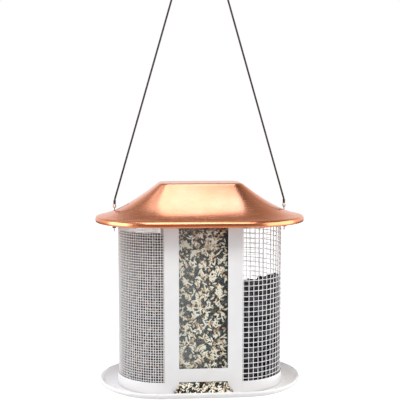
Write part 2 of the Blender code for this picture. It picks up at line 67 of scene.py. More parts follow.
def end_centre(side):
    """X of the axis that an end's wires and seeds lie round: side is -1 left, 1 right."""
    return side * (HALF_STRAIGHT + END_GAP)


def new_object(name, data):
    """An object with this data, linked into the scene."""
    obj = bpy.data.objects.new(name, data)
    bpy.context.scene.collection.objects.link(obj)
    return obj


def mesh_of(work, name):
    """A mesh from a bmesh, which is freed."""
    mesh = bpy.data.meshes.new(name)
    work.to_mesh(mesh)
    work.free()
    return mesh


# ---------------------------------------------------------------- camera


CAMERA_PLACE = (-0.0782, -0.985, 0.31525)
CAMERA_YAW = 0.079
CAMERA_PITCH = 0.093
CAMERA_LENS = 70.86
CAMERA_SHIFT = (0.0006, 0.018)


def add_camera():
    data = bpy.data.cameras.new("camera")
    data.sensor_width = 36
    data.lens = CAMERA_LENS
    data.shift_x, data.shift_y = CAMERA_SHIFT
    camera = new_object("camera", data)
    x, y, level = CAMERA_PLACE
    yaw = Matrix.Rotation(-CAMERA_YAW, 4, "Z")
    pitch = Matrix.Rotation(math.pi / 2 - CAMERA_PITCH, 4, "X")
    camera.matrix_world = Matrix.Translation((x, y, height(level))) @ yaw @ pitch
    bpy.context.scene.camera = camera


add_camera()

# ---------------------------------------------------------------- materials


def node_tree(material):
    material.use_nodes = True
    tree = material.node_tree
    shader = tree.nodes.get("Principled BSDF")
    if shader is None:
        tree.nodes.clear()
        shader = tree.nodes.new("ShaderNodeBsdfPrincipled")
        output = tree.nodes.new("ShaderNodeOutputMaterial")
        tree.links.new(shader.outputs[0], output.inputs[0])
    return tree, shader


def new_material(name, colour, roughness, metallic=0.0, **sockets):
    material = bpy.data.materials.new(name)
    tree, shader = node_tree(material)
    shader.inputs["Base Color"].default_value = (*colour, 1.0)
    shader.inputs["Roughness"].default_value = roughness
    shader.inputs["Metallic"].default_value = metallic
    for socket, value in sockets.items():
        shader.inputs[socket.replace("_", " ")].default_value = value
    return material


def add_noise(tree, scale, detail=3.0, roughness=0.55, stretch=(1, 1, 1)):
    """A noise texture in the object's own metres."""
    place = tree.nodes.new("ShaderNodeTexCoord")
    mapping = tree.nodes.new("ShaderNodeMapping")
    mapping.inputs["Scale"].default_value = stretch
    texture = tree.nodes.new("ShaderNodeTexNoise")
    texture.inputs["Scale"].default_value = scale
    texture.inputs["Detail"].default_value = detail
    texture.inputs["Roughness"].default_value = roughness
    tree.links.new(place.outputs["Object"], mapping.inputs["Vector"])
    tree.links.new(mapping.outputs["Vector"], texture.inputs["Vector"])
    return texture.outputs["Fac"]


def add_ramp(tree, factor, stops):
    ramp = tree.nodes.new("ShaderNodeValToRGB")
    elements = ramp.color_ramp.elements
    while len(elements) < len(stops):
        elements.new(0.5)
    for element, (place, colour) in zip(elements, stops):
        element.position = place
        element.color = (*colour, 1.0)
    tree.links.new(factor, ramp.inputs["Fac"])
    return ramp.outputs["Color"]


def add_range(tree, factor, low, high, start=0.3, stop=0.7):
    """Maps start..stop, where most of a noise texture lies, to low..high."""
    spread = tree.nodes.new("ShaderNodeMapRange")
    spread.inputs["From Min"].default_value = start
    spread.inputs["From Max"].default_value = stop
    spread.inputs["To Min"].default_value = low
    spread.inputs["To Max"].default_value = high
    tree.links.new(factor, spread.inputs["Value"])
    return spread.outputs["Result"]


def add_bump(tree, shader, factor, strength, distance):
    bump = tree.nodes.new("ShaderNodeBump")
    bump.inputs["Strength"].default_value = strength
    bump.inputs["Distance"].default_value = distance
    tree.links.new(factor, bump.inputs["Height"])
    tree.links.new(bump.outputs["Normal"], shader.inputs["Normal"])


def powder_coat(name, shade, roughness):
    """White powder coat: a faint orange peel and slightly uneven whiteness."""
    material = new_material(name, shade, roughness)
    tree, shader = node_tree(material)
    soft = [channel * 0.965 for channel in shade]
    patches = add_noise(tree, scale=38, detail=2)
    colour = add_ramp(tree, patches, [(0.35, soft), (0.65, shade)])
    tree.links.new(colour, shader.inputs["Base Color"])
    peel = add_noise(tree, scale=900, detail=2)
    handled = add_noise(tree, scale=120, detail=3)
    rough = add_range(tree, handled, roughness - 0.06, roughness + 0.06)
    tree.links.new(rough, shader.inputs["Roughness"])
    add_bump(tree, shader, peel, strength=0.12, distance=0.0004)
    return material


def copper_sheet():
    """Spun copper under a clear coat: faint mottling and lines that run round the roof."""
    copper = (0.95, 0.33, 0.155)
    material = new_material(
        "copper_sheet", copper, 0.24, 1.0, Coat_Weight=0.1, Coat_Roughness=0.16
    )
    tree, shader = node_tree(material)
    mottle = add_noise(tree, scale=26, detail=5, roughness=0.6)
    stops = [(0.30, (0.91, 0.295, 0.13)), (0.52, copper), (0.75, (0.97, 0.365, 0.19))]
    tree.links.new(add_ramp(tree, mottle, stops), shader.inputs["Base Color"])
    lines = add_noise(tree, scale=60, detail=4, roughness=0.7, stretch=(1, 1, 14))
    tree.links.new(add_range(tree, lines, 0.19, 0.29), shader.inputs["Roughness"])
    add_bump(tree, shader, lines, strength=0.06, distance=0.0003)
    return material


def dull_metal(name, shade, roughness):
    """Bare or plated metal with patches that differ in shade and shine."""
    material = new_material(name, shade, roughness, 1.0)
    tree, shader = node_tree(material)
    spangle = add_noise(tree, scale=160, detail=4, roughness=0.7)
    dark = [channel * 0.75 for channel in shade]
    colour = add_ramp(tree, spangle, [(0.3, dark), (0.7, shade)])
    tree.links.new(colour, shader.inputs["Base Color"])
    rough = add_range(tree, spangle, roughness - 0.1, roughness + 0.1)
    tree.links.new(rough, shader.inputs["Roughness"])
    return material


def clear_sheet():
    """Clear polycarbonate with a painted reflection: a pale haze, stronger on its left side, that
    stands in for the lights reflected in the pane.
    """
    material = new_material("clear_sheet", (0.80, 0.86, 0.84), 0.12, Specular_IOR_Level=0.9)
    tree, shader = node_tree(material)
    place = tree.nodes.new("ShaderNodeTexCoord")
    split = tree.nodes.new("ShaderNodeSeparateXYZ")
    tree.links.new(place.outputs["Object"], split.inputs[0])
    # Painted reflection: the pane's pale colour shows more towards -X, standing in for reflected
    # light.
    reflection_haze = add_range(tree, split.outputs["X"], 0.10, 0.025, start=-0.030, stop=0.020)
    tree.links.new(reflection_haze, shader.inputs["Alpha"])
    return material


def seed_skin(name, stops, roughness, streak, specular=0.5):
    """Seed husk: each seed carries its own tint, which fine noise makes uneven."""
    material = new_material(name, stops[0][1], roughness)
    tree, shader = node_tree(material)
    tint = tree.nodes.new("ShaderNodeAttribute")
    tint.attribute_name = "tint"
    grain = add_noise(tree, scale=1400, detail=2, roughness=0.6)
    mix = tree.nodes.new("ShaderNodeMath")
    mix.operation = "MULTIPLY_ADD"
    mix.inputs[1].default_value = streak
    tree.links.new(grain, mix.inputs[0])
    tree.links.new(tint.outputs["Fac"], mix.inputs[2])
    tree.links.new(add_ramp(tree, mix.outputs[0], stops), shader.inputs["Base Color"])
    add_bump(tree, shader, grain, strength=0.3, distance=0.0002)
    shader.inputs["Specular IOR Level"].default_value = specular
    return material


MATERIALS = {
    "white_steel": powder_coat("white_powder_coat", (0.87, 0.855, 0.85), 0.42),
    "white_wire": powder_coat("white_wire_coat", (0.89, 0.86, 0.85), 0.45),
    "white_tray": powder_coat("white_tray_coat", (0.88, 0.85, 0.83), 0.32),
    "copper": copper_sheet(),
    "galvanised": dull_metal("dull_zinc", (0.55, 0.56, 0.57), 0.42),
    "bronze_wire": dull_metal("warm_wire", (0.78, 0.60, 0.50), 0.30),
    # A darker bronze for the lugs and rivets under the brim: partly painted shade for the brim's
    # shadow.
    "brim_shaded_bronze": dull_metal("brim_shaded_bronze", (0.40, 0.33, 0.26), 0.42),
    "steel_hook": dull_metal("bright_zinc", (0.62, 0.62, 0.63), 0.30),
    "clear_pane": clear_sheet(),
    # Near black, painted shade: shows between seeds where the depths of a load lie in shadow.
    "painted_shade_core": new_material("painted_shade_core", (0.012, 0.012, 0.012), 0.9),
}

# ---------------------------------------------------------------- geometry helpers


def add_piece(name, mesh, material, body, stands_for, sharp_angle):
    """A visible piece that rides on this body and stands for these CAD nodes."""
    piece = new_object(name, mesh)
    mesh.materials.clear()
    mesh.materials.append(material)
    mesh.shade_smooth()
    mesh.set_sharp_from_angle(angle=math.radians(sharp_angle))
    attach(piece, body)
    if stands_for:
        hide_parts(*stands_for)
    return piece


def mesh_from(name, verts, faces):
    mesh = bpy.data.meshes.new(name)
    mesh.from_pydata([tuple(v) for v in verts], [], [tuple(f) for f in faces])
    mesh.update()
    return mesh


def face_outwards(mesh):
    work = bmesh.new()
    work.from_mesh(mesh)
    bmesh.ops.recalc_face_normals(work, faces=work.faces)
    work.to_mesh(mesh)
    work.free()
    return mesh


def stadium(half_straight, radius):
    """Points round a rectangle with half-circle ends, with extra points on its straight sides."""
    points = []
    for side in (1, -1):
        for i in range(ARC_STEPS + 1):
            angle = math.pi * (i / ARC_STEPS - 0.5)
            points.append(
                (
                    side * (half_straight + radius * math.cos(angle)),
                    side * radius * math.sin(angle),
                )
            )
        for i in range(1, STRAIGHT_STEPS):
            x = half_straight * (1 - 2 * i / STRAIGHT_STEPS)
            points.append((side * x, side * radius))
    return points


def loft(name, rings):
    """A closed skin over rings of points with equal counts."""
    count = len(rings[0])
    verts = [point for ring in rings for point in ring]
    faces = [
        (
            r * count + i,
            r * count + (i + 1) % count,
            (r + 1) * count + (i + 1) % count,
            (r + 1) * count + i,
        )
        for r in range(len(rings) - 1)
        for i in range(count)
    ]
    faces.append(tuple(range(count))[::-1])
    faces.append(tuple((len(rings) - 1) * count + i for i in range(count)))
    return face_outwards(mesh_from(name, verts, faces))


def rounded_box_profile(low, high, corner):
    """A rectangle with rounded corners, as (radius, height) points."""
    steps = 3
    points = []
    for cx, cy, start in (
        (high[0] - corner, high[1] - corner, 0),
        (low[0] + corner, high[1] - corner, 90),
        (low[0] + corner, low[1] + corner, 180),
        (high[0] - corner, low[1] + corner, 270),
    ):
        for i in range(steps + 1):
            angle = math.radians(start + 90 * i / steps)
            points.append((cx + corner * math.cos(angle), cy + corner * math.sin(angle)))
    return points


def swept_end(side, profile, steps):
    """Verts and faces of a closed profile swept round one end, with its ends capped."""
    centre = side * (HALF_STRAIGHT + SWEEP_GAP)
    count = len(profile)
    verts, faces = [], []
    for i in range(steps + 1):
        angle = math.pi * (i / steps - 0.5)
        for radius, level in profile:
            x = centre + side * radius * math.cos(angle)
            verts.append((x, radius * math.sin(angle), height(level)))
    for i in range(steps):
        for j in range(count):
            k = (j + 1) % count
            faces.append(
                (i * count + j, i * count + k, (i + 1) * count + k, (i + 1) * count + j)
            )
    faces.append(tuple(range(count))[::-1])
    faces.append(tuple(steps * count + j for j in range(count)))
    return verts, faces


def join(parts):
    verts, faces = [], []
    for some_verts, some_faces in parts:
        start = len(verts)
        verts += some_verts
        faces += [tuple(i + start for i in face) for face in some_faces]
    return verts, faces


def tube(points, radii, sides):
    """Verts and faces of a capped tube along points.

    radii is a radius, or gives one for each point, or gives a function of the angle there.
    """
    points = [Vector(p) for p in points]
    verts, faces = [], []
    last = len(points) - 1
    across = None
    for i, point in enumerate(points):
        ahead = (points[min(i + 1, last)] - points[max(i - 1, 0)]).normalized()
        if across is None:
            across = ahead.orthogonal().normalized()
        across = (across - ahead * across.dot(ahead)).normalized()
        up = ahead.cross(across)
        radius = radii(i) if callable(radii) else radii
        for j in range(sides):
            angle = math.tau * j / sides
            scale = radius(angle) if callable(radius) else radius
            verts.append(
                tuple(point + (across * math.cos(angle) + up * math.sin(angle)) * scale)
            )
    for i in range(last):
        for j in range(sides):
            k = (j + 1) % sides
            faces.append(
                (i * sides + j, i * sides + k, (i + 1) * sides + k, (i + 1) * sides + j)
            )
    faces.append(tuple(range(sides))[::-1])
    faces.append(tuple(last * sides + j for j in range(sides)))
    return verts, faces


# ---------------------------------------------------------------- cable and hook

CROWN_TOP = 0.5266
CROWN_RADIUS = 0.0280
CABLE = 0.0024
LINK_EYE = (0.1072, 0.2234)
CABLE_END_LEAN = math.radians(2)
LOOP_RADIUS = 0.0017
LOOP_WIRE = 0.0011
SLEEVE_START = 0.0044
SLEEVE_LENGTH = 0.0050
SLEEVE_RADIUS = 0.0016
GAP = 0.0003
STRANDS = 6
LAY_LENGTH = 0.012

# Half of a crimped sleeve: places along it, and the share of its radius there.
CRIMP = (
    (0.0, 0.45),
    (0.02, 0.80),
    (0.05, 0.94),
    (0.10, 1.0),
    (0.22, 1.0),
    (0.28, 0.90),
    (0.33, 0.86),
    (0.38, 0.90),
)

HOOK_WIRE = 0.0045
HOOK_LOWER_RADIUS = 0.0090
HOOK_UPPER_RADIUS = 0.0135
HOOK_SHANK = 0.0200


def cable_route(leg_step, crown_steps):
    """The line of the cable: up the left leg, over the crown and down the right leg."""
    sleeve_top = SLEEVE_START + SLEEVE_LENGTH + GAP
    foot_x = LINK_EYE[0] - math.sin(CABLE_END_LEAN) * sleeve_top
    foot_z = LINK_EYE[1] + math.cos(CABLE_END_LEAN) * sleeve_top
    centre = CROWN_TOP - CROWN_RADIUS
    reach = math.hypot(foot_x, foot_z - centre)
    touch = math.atan2(foot_z - centre, foot_x) + math.acos(CROWN_RADIUS / reach)
    top_x = CROWN_RADIUS * math.cos(touch)
    top_z = centre + CROWN_RADIUS * math.sin(touch)
    steps = max(1, round(math.hypot(top_x - foot_x, top_z - foot_z) / leg_step))
    right = [
        (
            foot_x + (top_x - foot_x) * i / steps,
            foot_z + (top_z - foot_z) * i / steps,
        )
        for i in range(steps)
    ]
    for i in range(crown_steps + 1):
        angle = touch + (math.pi / 2 - touch) * i / crown_steps
        right.append(
            (CROWN_RADIUS * math.cos(angle), centre + CROWN_RADIUS * math.sin(angle))
        )
    left = [(-x, z) for x, z in right]
    return [Vector((x, 0, height(z))) for x, z in left + right[-2::-1]]


def add_cable():
    """A coated wire rope, whose strands show through its coat."""
    route = cable_route(leg_step=0.0007, crown_steps=60)
    travelled = [0.0]
    for a, b in zip(route, route[1:]):
        travelled.append(travelled[-1] + (b - a).length)

    def strands(i):
        turn = math.tau * travelled[i] / LAY_LENGTH
        return lambda angle: CABLE / 2 * (0.95 + 0.05 * math.cos(STRANDS * (angle - turn)))

    mesh = mesh_from("cable", *tube(route, strands, 30))
    coat = new_material("cable_coat", (0.040, 0.026, 0.024), 0.5, Specular_IOR_Level=0.3)
    tree, shader = node_tree(coat)
    worn = add_noise(tree, scale=300, detail=3)
    stops = [(0.35, (0.030, 0.019, 0.017)), (0.7, (0.052, 0.034, 0.030))]
    tree.links.new(add_ramp(tree, worn, stops), shader.inputs["Base Color"])
    cable = add_piece("cable", mesh, coat, "feeder", ["hanger_cable"], 60)
    ends = [
        piece
        for side, name in ((-1, "left"), (1, "right"))
        for piece in add_cable_end(side, name, coat)
    ]


def add_cable_end(side, name, coat):
    """A bare wire loop through the link's eye, and the dark sleeve crimped over its ends.

    The sleeve has round ends and two pressed waists.
    """
    start = Vector((side * LINK_EYE[0], 0, height(LINK_EYE[1])))
    lean = Vector((-side * math.sin(CABLE_END_LEAN), 0, math.cos(CABLE_END_LEAN)))
    across = Vector((lean.z, 0, -lean.x))
    middle = start + lean * LOOP_RADIUS
    inside_sleeve = start + lean * (SLEEVE_START + 0.0010)
    line = [inside_sleeve - across * LOOP_WIRE / 2]
    for i in range(33):
        angle = math.radians(-205 + 230 * i / 32)
        line.append(
            middle
            + across * LOOP_RADIUS * math.cos(angle)
            + lean * LOOP_RADIUS * math.sin(angle)
        )
    line.append(inside_sleeve + across * LOOP_WIRE / 2)
    loop = add_piece(
        f"{name}_cable_loop",
        mesh_from("loop", *tube(line, LOOP_WIRE / 2, 14)),
        MATERIALS["bronze_wire"],
        "feeder",
        [f"{name}_cable_end"],
        60,
    )
    far_half = [(1 - place, share) for place, share in reversed(CRIMP)]
    crimp = [*CRIMP, (0.5, 1.0), *far_half]
    spine = [start + lean * (SLEEVE_START + SLEEVE_LENGTH * place) for place, _ in crimp]
    sleeve = add_piece(
        f"{name}_crimp_sleeve",
        mesh_from("sleeve", *tube(spine, lambda i: SLEEVE_RADIUS * crimp[i][1], 20)),
        coat,
        "feeder",
        (),
        50,
    )
    return [loop, sleeve]


def dress(node, finish):
    """Gives a CAD node that is shown as it is its finished material."""
    materials = nodes[node].data.materials
    materials.clear()
    materials.append(MATERIALS[finish])


def add_hook():
    """The open S hook, with the tips of its wire rounded."""
    radius, lower, upper = HOOK_WIRE / 2, HOOK_LOWER_RADIUS, HOOK_UPPER_RADIUS
    high = radius - upper
    low = high - HOOK_SHANK
    points = [(-lower, low + 0.0045), (-lower, low + 0.0022)]
    for i in range(33):
        angle = math.radians(180 + 180 * i / 32)
        points.append((lower * math.cos(angle), low + lower * math.sin(angle)))
    for i in range(1, 20):
        t = i / 20
        y = lower - (lower + upper) * (3 * t * t - 2 * t**3)
        points.append((y, low + (high - low) * t))
    for i in range(41):
        angle = math.radians(180 - 205 * i / 40)
        points.append((upper * math.cos(angle), high + upper * math.sin(angle)))
    line = [Vector((0, y, z)) for y, z in points]
    first = (line[0] - line[1]).normalized()
    end = (line[-1] - line[-2]).normalized()
    tips = [(0.30, 0.95), (0.62, 0.80), (0.85, 0.53), (0.97, 0.24)]
    head = [line[0] + first * radius * out for out, _ in reversed(tips)]
    tail = [line[-1] + end * radius * out for out, _ in tips]
    sizes = (
        [radius * share for _, share in reversed(tips)]
        + [radius] * len(line)
        + [radius * share for _, share in tips]
    )
    mesh = mesh_from("hook", *tube(head + line + tail, lambda i: sizes[i], 28))
    add_piece(
        "s_hook", mesh, MATERIALS["steel_hook"], "hook", ["hanging_hook"], 70
    )


add_cable()
add_hook()

# ---------------------------------------------------------------- roof

# Half length, half width and corner radius of the flat top and of the brim.
CROWN_OUTLINE = (0.0505, 0.0280, 0.0120)
BRIM_OUTLINE = (0.1310, 0.0835, 0.0831)
ROOF_TOP = 0.2548
ROOF_FALL = 0.0414
ROOF_CURVE = 1.55
BRIM_BOTTOM = 0.2063
ROOF_THICK = 0.0010
SLOT_MIDDLE = 0.09835
SLOT_HALF_LENGTH = 0.01115
SLOT_HALF_WIDTH = 0.0029
CORNER_STEPS = 32
END_STEPS = 8
FLARE_STEPS = 46


def roof_section(share):
    """Outline and height of the roof's skin, from its flat top at 0 to its brim at 1."""
    outline = [a + (b - a) * share for a, b in zip(CROWN_OUTLINE, BRIM_OUTLINE)]
    return (*outline, ROOF_TOP - ROOF_FALL * (1 - (1 - share) ** ROOF_CURVE))


def inset_section(outline, inset, level):
    return (*(size - inset for size in outline), level)


def rounded_rectangle(half_x, half_y, corner):
    """Points round a rectangle with round corners, with extra points along its sides."""
    points = []
    for across, along, start in ((1, -1, 3), (1, 1, 0), (-1, 1, 1), (-1, -1, 2)):
        middle_x, middle_y = across * (half_x - corner), along * (half_y - corner)
        for i in range(CORNER_STEPS + 1):
            angle = math.pi / 2 * (start + i / CORNER_STEPS)
            points.append(
                (middle_x + corner * math.cos(angle), middle_y + corner * math.sin(angle))
            )
        if across == along:
            points += [
                (middle_x * (1 - 2 * i / STRAIGHT_STEPS), along * half_y)
                for i in range(1, STRAIGHT_STEPS)
            ]
        else:
            points += [
                (across * half_x, middle_y * (1 - 2 * i / END_STEPS))
                for i in range(1, END_STEPS)
            ]
    return points


def smooth_through(points, steps):
    """Points on a Catmull-Rom curve through these."""
    padded = [points[0], *points, points[-1]]
    curve = []
    for a, b, c, d in zip(padded, padded[1:], padded[2:], padded[3:]):
        for i in range(steps):
            t = i / steps
            curve.append(
                tuple(
                    0.5
                    * (
                        2 * q
                        + (r - p) * t
                        + (2 * p - 5 * q + 4 * r - s) * t * t
                        + (3 * q - p - 3 * r + s) * t**3
                    )
                    for p, q, r, s in zip(a, b, c, d)
                )
            )
    return curve + [points[-1]]


def add_roof():
    """Sheet with a flat top, flared sides, and a brim rolled down and hemmed inwards."""
    crown = [
        inset_section(CROWN_OUTLINE, inset, ROOF_TOP - drop)
        for inset, drop in (
            (0.0060, 0.0),
            (0.0030, 0.0),
            (0.0018, 0.00004),
            (0.0008, 0.00022),
            (0.0001, 0.00060),
        )
    ]
    flare = [roof_section(0.02 + 0.92 * i / FLARE_STEPS) for i in range(FLARE_STEPS + 1)]
    lip = [
        inset_section(BRIM_OUTLINE, inset, BRIM_BOTTOM + rise)
        for inset, rise in (
            (0.0018, 0.0068),
            (0.0008, 0.0059),
            (0.0002, 0.0046),
            (0.0000, 0.0028),
            (0.0001, 0.0015),
            (0.0006, 0.0005),
            (0.0016, 0.0000),
            (0.0024, 0.0008),
            (0.0024, 0.0046),
        )
    ]
    rolled = smooth_through([flare[-1], *lip], 4)[1:]
    under = [(*outline, level - ROOF_THICK) for *outline, level in reversed(crown + flare)]
    sections = crown + flare + rolled + under
    rings = [
        [(x, y, height(level)) for x, y in rounded_rectangle(*outline)]
        for *outline, level in sections
    ]
    mesh = loft("roof_sheet", rings)
    roof = add_piece(
        "copper_roof", mesh, MATERIALS["copper"], "roof", ["roof"], 50
    )
    for side, name in ((-1, "left"), (1, "right")):
        cut_slot(roof, name, side * SLOT_MIDDLE)


def cut_slot(roof, name, middle):
    """A round-ended slot for a hanging link, cut through the sheet."""
    work = bmesh.new()
    outline = []
    for end in (1, -1):
        for i in range(13):
            angle = math.pi * (i / 12 - 0.5)
            reach = SLOT_HALF_LENGTH - SLOT_HALF_WIDTH + SLOT_HALF_WIDTH * math.cos(angle)
            outline.append((middle + end * reach, end * SLOT_HALF_WIDTH * math.sin(angle)))
    low = [work.verts.new((x, y, height(BRIM_BOTTOM))) for x, y in outline]
    face = work.faces.new(low)
    raised = bmesh.ops.extrude_face_region(work, geom=[face])
    top = [v for v in raised["geom"] if isinstance(v, bmesh.types.BMVert)]
    bmesh.ops.translate(work, verts=top, vec=(0, 0, ROOF_TOP - BRIM_BOTTOM))
    bmesh.ops.recalc_face_normals(work, faces=work.faces)
    cutter = new_object("slot_" + name, mesh_of(work, "slot_" + name))
    boolean = roof.modifiers.new("slot_" + name, "BOOLEAN")
    boolean.operation = "DIFFERENCE"
    boolean.object = cutter
    with bpy.context.temp_override(object=roof, active_object=roof):
        bpy.ops.object.modifier_apply(modifier=boolean.name)
    bpy.data.objects.remove(cutter)


add_roof()

# ---------------------------------------------------------------- tray

TRAY_RADIUS = 0.0803
TRAY_SHEET = 0.0012
TRAY_FLOOR = 0.0013
PLATEAU_RADIUS = 0.0500
PLATEAU_RISE = 0.0030
SCREW_HOLE_RADIUS = 0.0019


def add_tray():
    """A pressed pan with a raised middle and a broad rolled rim."""
    outside = [
        (TRAY_RADIUS - 0.0100, 0.0),
        (TRAY_RADIUS - 0.0045, 0.0012),
        (TRAY_RADIUS - 0.0014, 0.0034),
        (TRAY_RADIUS, 0.0064),
        (TRAY_RADIUS - 0.0003, 0.0081),
        (TRAY_RADIUS - 0.0015, 0.0090),
        (TRAY_RADIUS - 0.0033, 0.0086),
        (TRAY_RADIUS - 0.0046, 0.0068),
        (TRAY_RADIUS - 0.0062, 0.0036),
        (TRAY_RADIUS - 0.0085, 0.0018),
        (TRAY_RADIUS - 0.0108, TRAY_SHEET),
    ]
    step = [
        (PLATEAU_RADIUS - 0.0060, PLATEAU_RISE),
        (PLATEAU_RADIUS - 0.0018, PLATEAU_RISE),
        (PLATEAU_RADIUS - 0.0008, 0.0028),
        (PLATEAU_RADIUS + 0.0008, 0.0002),
        (PLATEAU_RADIUS + 0.0018, 0.0),
    ]
    floor = [
        (PLATEAU_RADIUS + 0.0026, TRAY_SHEET),
        (PLATEAU_RADIUS + 0.0016, TRAY_SHEET + 0.0002),
        (PLATEAU_RADIUS, TRAY_SHEET + 0.0028),
        (PLATEAU_RADIUS - 0.0010, TRAY_SHEET + PLATEAU_RISE),
        (PLATEAU_RADIUS - 0.0060, TRAY_SHEET + PLATEAU_RISE),
    ]
    curve = [(radius, max(level, 0.0)) for radius, level in smooth_through(outside, 4)]
    profile = step + curve + floor
    rings = [
        [(x, y, height(level)) for x, y in stadium(HALF_STRAIGHT, radius)]
        for radius, level in profile
    ]
    mesh = loft("tray_pan", rings)
    for number in range(1, 5):
        low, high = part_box(f"tray_screw_{number}")
        mesh = bore(mesh, (low.x + high.x) / 2, (low.y + high.y) / 2)
    add_piece(
        "seed_tray", mesh, MATERIALS["white_tray"], "feeder", ["tray"], 50
    )


def bore(mesh, x, y):
    """The mesh with a screw hole cut through it here."""
    work = bmesh.new()
    bmesh.ops.create_cone(
        work,
        cap_ends=True,
        segments=24,
        radius1=SCREW_HOLE_RADIUS,
        radius2=SCREW_HOLE_RADIUS,
        depth=0.02,
        matrix=Matrix.Translation((x, y, height(0.004))),
    )
    drill = new_object("drill", mesh_of(work, "drill"))
    pan = new_object("pan", mesh)
    boolean = pan.modifiers.new("drill", "BOOLEAN")
    boolean.operation = "DIFFERENCE"
    boolean.object = drill
    graph = bpy.context.evaluated_depsgraph_get()
    cut = bpy.data.meshes.new_from_object(pan.evaluated_get(graph))
    bpy.data.objects.remove(drill)
    bpy.data.objects.remove(pan)
    return cut


add_tray()

# ---------------------------------------------------------------- body

BODY_RADIUS = 0.0560
BAND_THICK = 0.0008
BAND_LEVELS = {"base": (0.0016, 0.0154), "top": (0.2050, 0.2190)}
HOOPS_TOP = 0.2062
UPRIGHT_LEVELS = (0.0090, 0.2060)

# The places of a cloth's wires wander by up to this share of its pitch.
WANDER = 0.10


def add_bands():
    """The four half-round sheet bands that hold the meshes."""
    inner = BODY_RADIUS + GAP
    for side, name in ((-1, "left"), (1, "right")):
        for place, (low, high) in BAND_LEVELS.items():
            profile = rounded_box_profile((inner, low), (inner + BAND_THICK, high), 0.00035)
            mesh = face_outwards(mesh_from("band", *swept_end(side, profile, 72)))
            node = f"{name}_{place}_band"
            white = MATERIALS["white_steel"]
            add_piece(node + "_sheet", mesh, white, "feeder", [node], 40)


def add_wire_cloth(name, node, side, pitch, gauge, first_row, first_column):
    """Welded wire cloth bent round one end: hoops outside, uprights inside."""
    hoop_radius = BODY_RADIUS - gauge / 2
    upright_radius = hoop_radius - gauge * 0.86
    sides = 8
    ring = [
        (gauge / 2 * math.cos(math.tau * j / sides), gauge / 2 * math.sin(math.tau * j / sides))
        for j in range(sides)
    ]
    hoops, uprights = [], []
    level = first_row
    while level < HOOPS_TOP - gauge:
        drift = WANDER * pitch * noise.noise(Vector((level / pitch * 0.7, side, 0.5)))
        profile = [(hoop_radius + a, level + drift + b) for a, b in ring]
        hoops.append(swept_end(side, profile, 56))
        level += pitch
    arc = first_column
    while arc < math.pi * upright_radius - gauge:
        drift = WANDER * pitch * noise.noise(Vector((arc / pitch * 0.7, side, 3.5)))
        angle = (arc + drift) / upright_radius - math.pi / 2
        x = end_centre(side) + side * upright_radius * math.cos(angle)
        y = upright_radius * math.sin(angle)
        line = [(x, y, height(level)) for level in UPRIGHT_LEVELS]
        uprights.append(tube(line, gauge / 2, sides))
        arc += pitch
    for kind, parts in (("hoops", hoops), ("uprights", uprights)):
        mesh = face_outwards(mesh_from(kind, *join(parts)))
        stands_for = [node] if kind == "hoops" else ()
        white = MATERIALS["white_wire"]
        add_piece(f"{name}_{kind}", mesh, white, "feeder", stands_for, 60)


add_bands()
add_wire_cloth(
    "fine_cloth", "fine_mesh", -1, 0.003175, gauge=0.00079, first_row=0.0170, first_column=0.0006
)
add_wire_cloth(
    "coarse_cloth", "coarse_mesh", 1, 0.00635, gauge=0.00090, first_row=0.0180, first_column=0.0008
)

for node_name in ("front_frame", "back_frame", "base_plate"):
    dress(node_name, "white_steel")
for node_name in ("left_divider", "right_divider", "seed_deflector"):
    dress(node_name, "galvanised")
for node_name in ("front_window", "back_window"):
    dress(node_name, "clear_pane")
for end_name in ("left", "right"):
    dress(f"{end_name}_hanging_link", "bronze_wire")
    dress(f"{end_name}_hanging_lug", "brim_shaded_bronze")
    dress(f"{end_name}_lug_rivet", "brim_shaded_bronze")
for number in range(1, 5):
    dress(f"tray_screw_{number}", "galvanised")
    dress(f"tray_nut_{number}", "galvanised")

# ---------------------------------------------------------------- seed


def spindle(length, width, thick, rings, sides):
    """A husk along X: rings gives (place along it, share of its width)."""
    verts = [(-length / 2, 0, 0)]
    for place, share in rings:
        for j in range(sides):
            angle = math.tau * j / sides
            verts.append(
                (
                    length * (place - 0.5),
                    width / 2 * share * math.cos(angle),
                    thick / 2 * share * math.sin(angle),
                )
            )
    verts.append((length / 2, 0, 0))
    end = len(verts) - 1
    faces = []
    for j in range(sides):
        k = (j + 1) % sides
        faces.append((0, 1 + k, 1 + j))
        for r in range(len(rings) - 1):
            a, b = 1 + r * sides, 1 + (r + 1) * sides
            faces.append((a + j, a + k, b + k, b + j))
        last = 1 + (len(rings) - 1) * sides
        faces.append((last + j, last + k, end))
    return np.array(verts), faces


SEED_SHAPES = {
    "nyjer": spindle(0.0046, 0.00115, 0.0010, [(0.2, 0.75), (0.55, 1.0), (0.85, 0.7)], 5),
    "sunflower": spindle(
        0.0108,
        0.0054,
        0.0034,
        [(0.06, 0.42), (0.22, 0.80), (0.45, 1.0), (0.68, 0.92), (0.86, 0.58), (0.96, 0.25)],
        9,
    ),
    "grain": spindle(
        0.0060, 0.0019, 0.0016, [(0.08, 0.5), (0.3, 0.92), (0.6, 1.0), (0.88, 0.6)], 7
    ),
    "chip": spindle(0.0036, 0.0026, 0.0018, [(0.15, 0.8), (0.6, 1.0), (0.9, 0.6)], 5),
}


SEED_SIZES = (0.85, 1.15)


